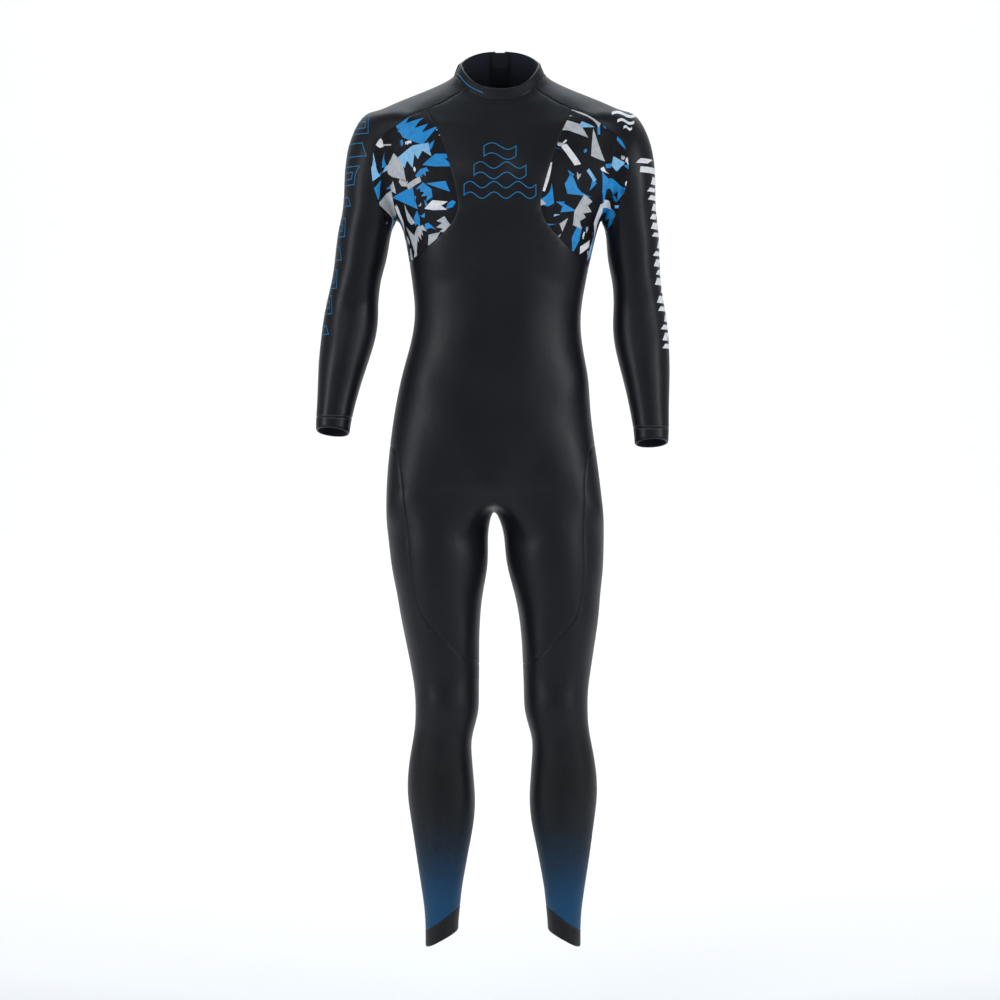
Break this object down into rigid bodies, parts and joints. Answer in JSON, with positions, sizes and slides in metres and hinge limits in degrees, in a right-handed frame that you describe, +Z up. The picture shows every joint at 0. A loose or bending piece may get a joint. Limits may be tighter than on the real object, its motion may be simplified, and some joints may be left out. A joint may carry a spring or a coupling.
{
  "type": "full wetsuit",
  "caption": "Full-length smooth-skin triathlon wetsuit with long sleeves and legs, a back zip, and a high collar closed by a hook-and-loop flap, shaped as on a body.",
  "frame": {"origin": "middle of the neck opening, at the level of the collar's lowest front edge", "axes": "+Z up, -Y towards the wearer's front, +X towards the wearer's left"},
  "size_m": [0.5808, 0.241, 1.4845],
  "materials": {
    "neoprene": "smooth satin skin over foam",
    "pattern": "stretch knit printed with blue, grey and white shards on black",
    "lower_leg": "stretch knit that fades from black at the knee to deep blue at the ankle",
    "cuff": "matte hem",
    "lining": "matte knit lining",
    "tape": "woven tape",
    "teeth": "satin",
    "zip_metal": "black enamel",
    "hook_and_loop": "matte pile"
  },
  "bodies": {
    "torso": {"front_torso_panel": "neoprene", "seat_panel": "neoprene", "collar": "neoprene", "left_back_panel": "neoprene", "left_chest_panel": "pattern", "left_shoulder_panel": "neoprene", "right_back_panel": "neoprene", "right_chest_panel": "pattern", "right_shoulder_panel": "neoprene", "left_zip_tape": "tape", "right_zip_tape": "tape", "zip_teeth": "teeth", "zip_bottom_stop": "zip_metal", "zip_top_stop": "zip_metal", "zip_underlap": "lining", "loop_patch": "hook_and_loop"},
    "left_upper_arm": {"left_underarm_panel": "pattern", "left_upper_sleeve": "neoprene"},
    "left_forearm": {"left_forearm_sleeve": "neoprene", "left_wrist_cuff": "cuff"},
    "left_thigh": {"left_inner_thigh_panel": "neoprene", "left_outer_thigh_panel": "neoprene"},
    "left_lower_leg": {"left_shin_panel": "lower_leg", "left_calf_panel": "lower_leg", "left_ankle_cuff": "cuff"},
    "right_upper_arm": {"right_underarm_panel": "pattern", "right_upper_sleeve": "neoprene"},
    "right_forearm": {"right_forearm_sleeve": "neoprene", "right_wrist_cuff": "cuff"},
    "right_thigh": {"right_inner_thigh_panel": "neoprene", "right_outer_thigh_panel": "neoprene"},
    "right_lower_leg": {"right_shin_panel": "lower_leg", "right_calf_panel": "lower_leg", "right_ankle_cuff": "cuff"},
    "flap": {"collar_flap": "neoprene", "hook_patch": "hook_and_loop"},
    "slider": {"zip_slider": "zip_metal"},
    "pull": {"zip_pull_tab": "zip_metal"}
  },
  "joints": [
    {"name": "left_shoulder", "type": "hinge", "parent": "torso", "child": "left_upper_arm", "pos_m": [0.203, 0.008, -0.022], "axis": [0, -1, 0], "range_deg": [0, 70], "stiffness_Nm_per_rad": 1.5},
    {"name": "left_elbow", "type": "hinge", "parent": "left_upper_arm", "child": "left_forearm", "pos_m": [0.2318, -0.0408, -0.3825], "axis": [-0.9985, 0, 0.0556], "range_deg": [0, 100], "stiffness_Nm_per_rad": 0.5},
    {"name": "left_hip", "type": "hinge", "parent": "torso", "child": "left_thigh", "pos_m": [0.084, -0.0985, -0.65], "axis": [-1, 0, 0], "range_deg": [0, 60], "stiffness_Nm_per_rad": 3},
    {"name": "left_knee", "type": "hinge", "parent": "left_thigh", "child": "left_lower_leg", "pos_m": [0.093, 0.0548, -1.03], "axis": [1, 0, 0], "range_deg": [0, 90], "stiffness_Nm_per_rad": 1.2},
    {"name": "right_shoulder", "type": "hinge", "parent": "torso", "child": "right_upper_arm", "pos_m": [-0.203, 0.008, -0.022], "axis": [0, 1, 0], "range_deg": [0, 70], "stiffness_Nm_per_rad": 1.5},
    {"name": "right_elbow", "type": "hinge", "parent": "right_upper_arm", "child": "right_forearm", "pos_m": [-0.247, -0.0408, -0.372], "axis": [-1, 0, 0], "range_deg": [0, 100], "stiffness_Nm_per_rad": 0.5},
    {"name": "right_hip", "type": "hinge", "parent": "torso", "child": "right_thigh", "pos_m": [-0.106, -0.0985, -0.65], "axis": [-1, 0, 0], "range_deg": [0, 60], "stiffness_Nm_per_rad": 3},
    {"name": "right_knee", "type": "hinge", "parent": "right_thigh", "child": "right_lower_leg", "pos_m": [-0.087, 0.0548, -1.03], "axis": [1, 0, 0], "range_deg": [0, 90], "stiffness_Nm_per_rad": 1.2},
    {"name": "flap_hinge", "type": "hinge", "parent": "torso", "child": "flap", "pos_m": [0.01705, 0.07764, 0.04128], "axis": [0.0567, 0.1745, -0.983], "range_deg": [0, 150], "stiffness_Nm_per_rad": 0.03},
    {"name": "zip_run", "type": "hinge", "parent": "torso", "child": "slider", "pos_m": [0, -0.586, -0.19], "axis": [-1, 0, 0], "range_deg": [0, 30]},
    {"name": "pull_tab_hinge", "type": "hinge", "parent": "slider", "child": "pull", "pos_m": [0, 0.08821, 0.014], "axis": [1, 0, 0], "range_deg": [0, 120]}
  ]
}
